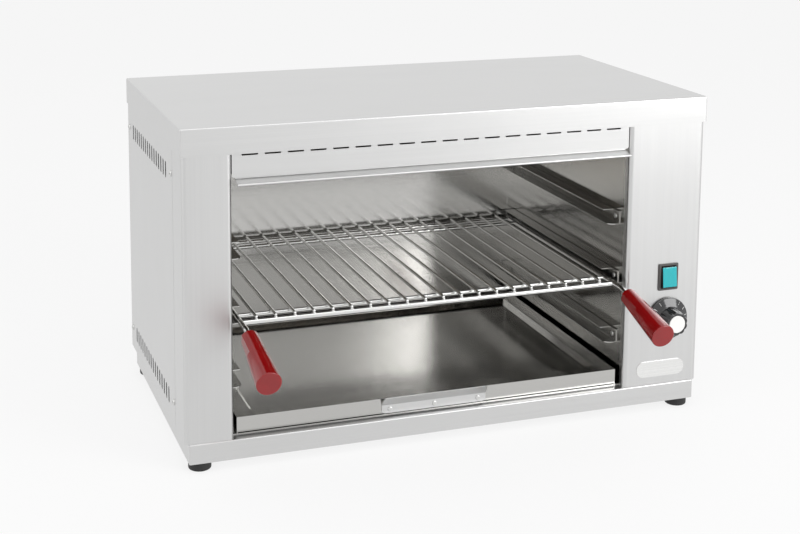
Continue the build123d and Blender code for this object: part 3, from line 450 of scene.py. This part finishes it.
def dialled(name, colour, roughness, mark_colour, ring, count, arc, width):
    """Glossy moulding with printed tick marks on a ring of its own UV map.

    U runs once round the knob and V is the distance along its axis in millimetres. A mark shows
    where the fraction of U times count is under width, within arc, and V lies in ring.
    """
    material = moulded(name, colour, roughness, 0.2, 1.0, 0.00001, 0.6)
    tree = material.node_tree
    shader = next(node for node in tree.nodes if node.type == "BSDF_PRINCIPLED")
    base = shader.inputs["Base Color"].links[0].from_socket
    uv = tree.nodes.new("ShaderNodeUVMap")
    uv.uv_map = "UVMap"
    split = tree.nodes.new("ShaderNodeSeparateXYZ")
    tree.links.new(uv.outputs[0], split.inputs[0])
    turn = math_node(tree, "FRACT", math_node(tree, "ADD", split.outputs["X"], 0.25 + arc / 2))
    cell = math_node(tree, "FRACT", math_node(tree, "MULTIPLY_ADD", turn, float(count), width / 2))
    line = math_node(tree, "LESS_THAN", cell, width)
    inside = math_node(tree, "LESS_THAN", turn, arc + 0.2 / count)
    above = math_node(tree, "GREATER_THAN", split.outputs["Y"], ring[0])
    below = math_node(tree, "LESS_THAN", split.outputs["Y"], ring[1])
    marked = math_node(tree, "MULTIPLY", line, inside)
    banded = math_node(tree, "MULTIPLY", above, below)
    mask = math_node(tree, "MULTIPLY", marked, banded)
    tree.links.new(mix_colour(tree, mask, base, (*mark_colour, 1)), shader.inputs["Base Color"])
    return material


def background_rays(tree):
    """One where the ray comes from the camera, a mirror or a clear surface, and zero elsewhere."""
    path = tree.nodes.new("ShaderNodeLightPath")
    seen = math_node(tree, "MAXIMUM", path.outputs["Is Camera Ray"], path.outputs["Is Glossy Ray"])
    return math_node(tree, "MAXIMUM", seen, path.outputs["Is Transmission Ray"])


def dress(material, *names):
    """Assigns a material to every slot of the named CAD nodes."""
    for name in names:
        for slot in NODES[name].material_slots:
            slot.material = material


# ---- Settings


def colour_property(label, note, value):
    """Setting for a colour without alpha."""
    return bpy.props.FloatVectorProperty(
        name=label, description=note, default=value, size=3, subtype="COLOR", min=0, max=1
    )


def size_property(label, note, value):
    """Setting for a length in metres."""
    return bpy.props.FloatProperty(
        name=label, description=note, default=value, min=0, unit="LENGTH", subtype="DISTANCE"
    )


def factor_property(label, note, value):
    """Setting for a share between zero and one."""
    return bpy.props.FloatProperty(
        name=label, description=note, default=value, min=0, max=1, subtype="FACTOR"
    )


def count_property(label, note, value):
    """Setting for a number of repeats."""
    return bpy.props.IntProperty(name=label, description=note, default=value, min=0)


def power_property(label, note, value):
    """Setting for a light's power in watts."""
    return bpy.props.FloatProperty(name=label, description=note, default=value, min=0, unit="POWER")


class MelterFinish(bpy.types.PropertyGroup):
    panel: colour_property("Panels", "Brushed stainless of the cabinet's outside", (0.60, 0.60, 0.597))
    panel_roughness: factor_property("Panel roughness", "Roughness of the satin panels", 0.34)
    lining: colour_property("Lining", "Bright stainless of the cavity", (0.50, 0.495, 0.48))
    lining_roughness: factor_property("Lining roughness", "Roughness of the cavity's lining", 0.12)
    wire: colour_property("Wire", "Polished wire of the grid", (0.70, 0.70, 0.69))
    handle: colour_property("Handles", "Dark red phenolic of the grid's handles", (0.25, 0.003, 0.004))
    knob: colour_property("Knob", "Black phenolic of the knob", (0.012, 0.012, 0.013))
    cap: colour_property("Cap", "White cap in the knob", (0.86, 0.86, 0.84))
    rocker: colour_property("Rocker", "Teal lens of the rocker switch", (0.0, 0.42, 0.46))
    bezel: colour_property("Bezel", "Grey frame of the rocker switch", (0.075, 0.072, 0.070))
    rubber: colour_property("Feet", "Rubber of the feet", (0.012, 0.012, 0.012))


class MelterDetail(bpy.types.PropertyGroup):
    weld: size_property("Weld", "Half the width of a weld where a wire crosses a bar", 0.0021)
    knob_flutes: count_property("Flutes", "Finger flutes round the knob's grip", 10)
    lens_ribs: count_property("Ribs", "Upright ribs across the rocker's lens", 11)


class MelterStage(bpy.types.PropertyGroup):
    lens: bpy.props.FloatProperty(
        name="Lens", description="Focal length on a 36 mm sensor", default=65.95, min=1, unit="CAMERA"
    )
    world: factor_property("Surroundings", "Brightness of the studio's walls on matt surfaces", 0.60)
    backdrop: factor_property("Backdrop", "Share of plain white in the floor as the camera sees it", 0.8)
    key: power_property("Key light", "Power of the soft light on the right", 30.0)
    fill: power_property("Fill light", "Power of the soft light on the left", 9.0)
    top: power_property("Top light", "Power of the soft light overhead", 10.0)


# ---- Pieces


class MELTER_OT_finishes(bpy.types.Operator):
    """Builds the shared node groups"""

    bl_idname = "melter.finishes"
    bl_label = "Shared finishes"

    def execute(self, context):
        build_grain_group()
        build_mould_group()
        return {"FINISHED"}


class MELTER_OT_cabinet(bpy.types.Operator):
    """Finishes the outside panels, the plinth and the sloping strip"""

    bl_idname = "melter.cabinet"
    bl_label = "Cabinet panels"

    def execute(self, context):
        look = context.scene.melter_finish
        along = steel("panel steel along", look.panel, look.panel_roughness, 0.6, 0.6)
        raised = steel("panel steel upright", look.panel, look.panel_roughness, 0.6, 0.6, UPRIGHT)
        dress(along, "top_cover", "plinth", "upper_front_panel", "heat_deflector", "back_panel", "tray_pull")
        dress(raised, "left_front_column", "control_panel", "left_side_panel", "right_side_panel")
        badge = steel("badge sheet", (0.78, 0.78, 0.77), 0.26, 0.8, 0.3)
        dress(badge, "badge_plate")
        return {"FINISHED"}


class MELTER_OT_lining(bpy.types.Operator):
    """Finishes the cavity's lining, the rails and the crumb tray"""

    bl_idname = "melter.lining"
    bl_label = "Cavity lining"

    def execute(self, context):
        look = context.scene.melter_finish
        heat = (0.24, 0.40, (0.40, 0.31, 0.19))
        sheet = (look.lining, look.lining_roughness, 0.35, 1.0)
        wall = steel("lining wall", *sheet, UPRIGHT, 0.00001, heat)
        across = steel("lining across", *sheet, ALONG_X, 0.00004, heat)
        flat = steel("lining flat", *sheet, ALONG_X, 0.00002)
        rail = steel("rail steel", look.lining, 0.24, 0.4, 0.8, ALONG_Y)
        dress(wall, "cavity_left_wall", "cavity_right_wall", "element_reflector", "element_hanger")
        dress(across, "cavity_back_wall")
        dress(flat, "cavity_floor", "crumb_tray")
        for side in ("left", "right"):
            dress(rail, *(f"{side}_rail_{level}" for level in ("lower", "middle", "upper")))
        return {"FINISHED"}


class MELTER_OT_elements(bpy.types.Operator):
    """Finishes the heating elements, their bushes and pins"""

    bl_idname = "melter.elements"
    bl_label = "Heating elements"

    def execute(self, context):
        sheath = steel("oxidised sheath", (0.13, 0.11, 0.10), 0.5, 0.5, 1.5)
        dress(sheath, "heating_element_front", "heating_element_middle", "heating_element_rear")
        dress(moulded("white ceramic", (0.78, 0.75, 0.69), 0.62, 0.3, 1.0, 0.00005), "element_bushes")
        dress(steel("brass pins", (0.72, 0.52, 0.22), 0.32, 0.4, 0.6), "element_pins")
        return {"FINISHED"}


class MELTER_OT_grid(bpy.types.Operator):
    """Finishes the grid's wires and adds the welds where they cross its bars"""

    bl_idname = "melter.grid"
    bl_label = "Grid and welds"

    def execute(self, context):
        look = context.scene.melter_finish
        bright = steel("polished wire", look.wire, 0.16, 0.25, 0.5, ALONG_Y)
        dress(bright, "grid_frame", "grid_wires", "knob_shaft")
        weld = context.scene.melter_detail.weld / MM
        low, high = (np.array(corner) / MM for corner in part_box("grid_wires"))
        frame_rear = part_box("grid_frame")[1][1] / MM
        wire_radius = (high[2] - low[2]) / 2
        columns = np.linspace(low[0] + wire_radius, high[0] - wire_radius, WIRE_COUNT)
        front = low[1] + WIRE_OVERHANG
        rear = frame_rear - REAR_BAR_INSET
        bars = np.array([front, front + BAR_SPACING, rear - BAR_SPACING, rear])
        x, y = np.meshgrid(columns, bars)
        crossings = np.stack([x.ravel(), y.ravel(), np.full(x.size, low[2] + WELD_RISE)], -1)
        points, faces = beads(crossings, (weld, weld, WELD_HALF_HEIGHT))
        welds = make_piece("grid_welds", points, faces, "grid", bright)
        close_ends(welds)
        return {"FINISHED"}


class MELTER_OT_handles(bpy.types.Operator):
    """Finishes the two grid handles"""

    bl_idname = "melter.handles"
    bl_label = "Grid handles"

    def execute(self, context):
        look = context.scene.melter_finish
        red = moulded("red phenolic", look.handle, 0.16, 0.8, 1.0, 0.00001, 0.25)
        dress(red, "grid_handle_left", "grid_handle_right")
        return {"FINISHED"}


class MELTER_OT_controls(bpy.types.Operator):
    """Finishes the switch and the regulator, and replaces the knob with a fluted one with a dial"""

    bl_idname = "melter.controls"
    bl_label = "Switch and knob"

    def execute(self, context):
        look = context.scene.melter_finish
        self.add_knob(context, look)
        dress(moulded("white cap", look.cap, 0.2, 0.1, 1.0, 0.00001, 0.3), "knob_cap")
        dress(moulded("grey frame", look.bezel, 0.42, 0.3, 1.5, 0.00003), "switch_housing")
        dress(moulded("black rocker", look.knob, 0.3, 0.3, 1.0, 0.00001), "rocker_button")
        self.add_lens(context, moulded("teal lens", look.rocker, 0.16, 0.2, 1.0, 0.00001, 0.5))
        dress(moulded("regulator case", (0.06, 0.06, 0.06), 0.5, 0.5), "regulator")
        return {"FINISHED"}

    def add_knob(self, context, look):
        """Knob turned from its profile, with n flutes and a dial, in place of the CAD one.

        At radius r, distance d and angle v the radius is r - depth g(r, d) (1/2 + cos(n v)/2)^2,
        where g rises from 0 to 1 along the grip's foot and falls to 0 at the cap's seat.
        """
        low, high = (np.array(corner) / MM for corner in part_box("knob"))
        cap_low, cap_high = (np.array(corner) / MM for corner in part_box("knob_cap"))
        centre = (low + high) / 2
        skirt = (high[0] - low[0]) / 2
        seat = (cap_high[0] - cap_low[0]) / 2 + CAP_PLAY
        reach = high[1] - low[1]
        flutes = context.scene.melter_detail.knob_flutes
        bore = [(0.0, SHAFT_DEPTH), (SHAFT_RADIUS, SHAFT_DEPTH), (SHAFT_RADIUS, 0.0)]
        hollow = [
            (HUB_RADIUS, 0.0),
            (HUB_RADIUS, SKIRT_HOLLOW),
            (skirt - SKIRT_WALL, SKIRT_HOLLOW),
            (skirt - SKIRT_WALL, 0.0),
        ]
        outside = [(skirt, 0.0), (skirt, SKIRT_RIM), CONE_END, GRIP_FOOT, (GRIP_TOP_RADIUS, reach)]
        recess = [(seat, reach), (seat, reach - CAP_SEAT_DEPTH), (0.0, reach - CAP_SEAT_DEPTH)]
        profile = softened(bore + hollow + outside + recess, KNOB_ROUND)

        def fluted(r, d, v):
            """Radius less a bay at each flute, fading in over the grip's foot."""
            grip = np.clip((d - FLUTE_START) / FLUTE_RUN_IN, 0, 1)
            grip = grip * np.clip((r - seat - FLUTE_RIM) / FLUTE_FADE, 0, 1)
            bay = np.clip(0.5 + 0.5 * np.cos(flutes * v), 0, 1) ** 2
            return r - FLUTE_DEPTH * grip * bay

        origin = (centre[0], high[1], centre[2])
        points, faces, around = turned(profile, origin, (0, -1, 0), KNOB_SEGMENTS, fluted)
        marks = (MARK_COLOUR, MARK_RING, MARK_COUNT, MARK_ARC, MARK_WIDTH)
        gloss = dialled("black phenolic", look.knob, 0.12, *marks)
        knob = make_piece("knob_fluted", points, faces, "knob", gloss, around)
        close_ends(knob)
        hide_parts("knob")
        dress(gloss, "knob")

    def add_lens(self, context, material):
        """Ribbed lens on the rocker's flat face.

        Over the face's own axes a across and b up, the height is
        h = (edge + rib cos(2 pi n a / w)) (1 - |2a/w|^8)^(1/4) (1 - |2b/v|^8)^(1/4), so it meets
        the face at its rim and carries n upright ribs. The face leans back about the rocker's
        pivot by half the joint's range.
        """
        pivot = np.array(ROCKER["pos_m"]) / MM
        lean = math.radians((ROCKER["range_deg"][1] - ROCKER["range_deg"][0]) / 2)
        low, high = (np.array(corner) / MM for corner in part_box("rocker_button"))
        width = high[0] - low[0] - LENS_MARGIN
        ribs = context.scene.melter_detail.lens_ribs
        ahead = np.array((0, -math.cos(lean), math.sin(lean)))
        up = np.array((0, math.sin(lean), math.cos(lean)))
        grid = np.sin(np.linspace(-math.pi / 2, math.pi / 2, LENS_POINTS))
        a, b = np.meshgrid(grid * width / 2, grid * LENS_HEIGHT / 2)
        sides = 1 - np.abs(2 * a / width) ** 8
        ends = 1 - np.abs(2 * b / LENS_HEIGHT) ** 8
        rim = (sides * ends).clip(0, 1) ** 0.25
        h = LENS_EDGE * rim + LENS_RIB * np.cos(2 * np.pi * ribs * a / width) * rim
        flat = pivot + a[..., None] * (1, 0, 0) + b[..., None] * up
        top = flat + (LENS_FACE + h)[..., None] * ahead
        base = flat + (LENS_FACE + 0 * h)[..., None] * ahead
        rows, columns = a.shape
        points = np.vstack([top.reshape(-1, 3), base.reshape(-1, 3)])
        faces = np.vstack([grid_faces(rows, columns), grid_faces(rows, columns, offset=rows * columns)])
        lens = make_piece("rocker_lens", points, faces, "rocker", material)
        close_ends(lens)


class MELTER_OT_fittings(bpy.types.Operator):
    """Finishes feet, screws, rivets, the cable entry and the terminal block"""

    bl_idname = "melter.fittings"
    bl_label = "Feet and fittings"

    def execute(self, context):
        look = context.scene.melter_finish
        rubber = moulded("foot rubber", look.rubber, 0.62, 0.6, 1.2, 0.00008)
        dress(rubber, "foot_front_left", "foot_rear_left", "foot_front_right", "foot_rear_right")
        zinc = steel("zinc plate", (0.62, 0.62, 0.61), 0.3, 0.5, 1.0)
        dress(zinc, "rail_rivets", "tray_rivets", "side_screws", "lid_screws")
        dress(zinc, "foot_screws", "foot_nuts", "regulator_screws")
        fitting = moulded("black fitting", (0.018, 0.018, 0.02), 0.45, 0.5, 1.0, 0.00003)
        dress(fitting, "gland_body", "gland_cap", "gland_nut")
        dress(moulded("terminal plastic", (0.55, 0.53, 0.48), 0.5, 0.4), "terminal_block")
        return {"FINISHED"}


class MELTER_OT_stage(bpy.types.Operator):
    """Sets the floor, lights, surroundings and camera"""

    bl_idname = "melter.stage"
    bl_label = "Stage"

    def execute(self, context):
        stage = context.scene.melter_stage
        context.scene.view_settings.view_transform = "Standard"
        self.add_floor(stage)
        self.add_world(context, stage)
        self.add_light("key", (1.5, -1.9, 0.95), (0.1, 0, 0.2), (1.3, 1.5), stage.key)
        self.add_light("fill", (-2.2, -0.3, 0.9), (0, 0, 0.2), (1.4, 1.4), stage.fill)
        self.add_light("top", (-0.3, -0.9, 2.3), (0, 0, 0.2), (2.0, 1.6), stage.top)
        self.add_camera(context, stage)
        return {"FINISHED"}

    def add_floor(self, stage):
        """Level disc at the feet: matt, with a share of plain white to camera and mirror rays."""
        v = np.linspace(0, 2 * np.pi, FLOOR_SIDES, endpoint=False)
        rim = np.stack([FLOOR_RADIUS * np.cos(v), FLOOR_RADIUS * np.sin(v), 0 * v], -1)
        mesh = bpy.data.meshes.new("floor")
        mesh.from_pydata(rim.tolist(), [], [list(range(FLOOR_SIDES))])
        floor = bpy.data.objects.new("floor", mesh)
        bpy.context.scene.collection.objects.link(floor)
        material, tree, shader, _ = start_material("pale floor")
        shader.inputs["Base Color"].default_value = (0.88, 0.88, 0.88, 1)
        shader.inputs["Roughness"].default_value = 0.6
        shader.inputs["Specular IOR Level"].default_value = 0.2
        white = tree.nodes.new("ShaderNodeEmission")
        mix = tree.nodes.new("ShaderNodeMixShader")
        output = next(node for node in tree.nodes if node.type == "OUTPUT_MATERIAL")
        share = math_node(tree, "MULTIPLY", background_rays(tree), stage.backdrop)
        tree.links.new(share, mix.inputs[0])
        tree.links.new(shader.outputs[0], mix.inputs[1])
        tree.links.new(white.outputs[0], mix.inputs[2])
        tree.links.new(mix.outputs[0], output.inputs["Surface"])
        floor.data.materials.append(material)

    def add_world(self, context, stage):
        """White to camera, mirror and clear rays, and softer on matt surfaces."""
        world = bpy.data.worlds.new("studio")
        context.scene.world = world
        world.use_nodes = True
        tree = world.node_tree
        tree.nodes.clear()
        output = tree.nodes.new("ShaderNodeOutputWorld")
        room = tree.nodes.new("ShaderNodeBackground")
        white = tree.nodes.new("ShaderNodeBackground")
        mix = tree.nodes.new("ShaderNodeMixShader")
        white.inputs["Color"].default_value = (1, 1, 1, 1)
        room.inputs["Color"].default_value = (stage.world, stage.world, stage.world, 1)
        tree.links.new(background_rays(tree), mix.inputs[0])
        tree.links.new(room.outputs[0], mix.inputs[1])
        tree.links.new(white.outputs[0], mix.inputs[2])
        tree.links.new(mix.outputs[0], output.inputs[0])

    def add_light(self, name, place, target, size, power):
        """Rectangular soft light aimed at a point."""
        data = bpy.data.lights.new(name, "AREA")
        data.shape = "RECTANGLE"
        data.size, data.size_y = size
        data.energy = power
        light = bpy.data.objects.new(name, data)
        light.location = place
        light.rotation_euler = (Vector(target) - Vector(place)).to_track_quat("-Z", "Y").to_euler()
        bpy.context.scene.collection.objects.link(light)

    def add_camera(self, context, stage):
        """Camera at the photograph's place, shifted because the picture is off the lens's axis."""
        yaw, pitch, roll = (math.radians(angle) for angle in CAMERA_ANGLES)
        level_reach = math.cos(pitch)
        ahead = Vector((math.sin(yaw) * level_reach, math.cos(yaw) * level_reach, -math.sin(pitch)))
        right = Vector((math.cos(yaw), -math.sin(yaw), 0))
        up = right.cross(ahead)
        level, tilt = math.cos(roll), math.sin(roll)
        across = right * level + up * tilt
        upward = up * level - right * tilt
        data = bpy.data.cameras.new("camera")
        data.sensor_width = SENSOR_WIDTH
        data.lens = stage.lens
        data.shift_x = (PHOTO_WIDTH / 2 - OPTICAL_CENTRE[0]) / PHOTO_WIDTH
        data.shift_y = -(PHOTO_HEIGHT / 2 - OPTICAL_CENTRE[1]) / PHOTO_WIDTH
        camera = bpy.data.objects.new("camera", data)
        turn = Matrix((across, upward, -ahead)).transposed().to_4x4()
        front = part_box("top_cover")[0][1]
        camera.matrix_world = Matrix.Translation((CAMERA_X, front - CAMERA_AHEAD, CAMERA_Z)) @ turn
        context.scene.collection.objects.link(camera)
        context.scene.camera = camera


STEPS = (
    MELTER_OT_finishes,
    MELTER_OT_cabinet,
    MELTER_OT_lining,
    MELTER_OT_elements,
    MELTER_OT_grid,
    MELTER_OT_handles,
    MELTER_OT_controls,
    MELTER_OT_fittings,
    MELTER_OT_stage,
)


class MELTER_PT_panel(bpy.types.Panel):
    """Lists the settings and the steps"""

    bl_idname = "MELTER_PT_panel"
    bl_label = "Cheese melter"
    bl_space_type = "VIEW_3D"
    bl_region_type = "UI"
    bl_category = "Melter"

    def draw(self, context):
        for setting in SETTINGS:
            group = getattr(context.scene, setting)
            box = self.layout.box()
            for name in group.__annotations__:
                box.prop(group, name)
        for step in STEPS:
            self.layout.operator(step.bl_idname)


SETTINGS = {"melter_finish": MelterFinish, "melter_detail": MelterDetail, "melter_stage": MelterStage}


def register():
    """Registers the settings, the steps and the panel."""
    for name, group in SETTINGS.items():
        bpy.utils.register_class(group)
        setattr(bpy.types.Scene, name, bpy.props.PointerProperty(type=group))
    for step in (*STEPS, MELTER_PT_panel):
        bpy.utils.register_class(step)


def unregister():
    """Takes back what register() did, in the opposite order."""
    for step in (MELTER_PT_panel, *reversed(STEPS)):
        bpy.utils.unregister_class(step)
    for name, group in reversed(SETTINGS.items()):
        delattr(bpy.types.Scene, name)
        bpy.utils.unregister_class(group)


def main():
    """Runs every step in order."""
    register()
    for step in STEPS:
        area, name = step.bl_idname.split(".")
        getattr(getattr(bpy.ops, area), name)()


if __name__ == "__main__":
    main()
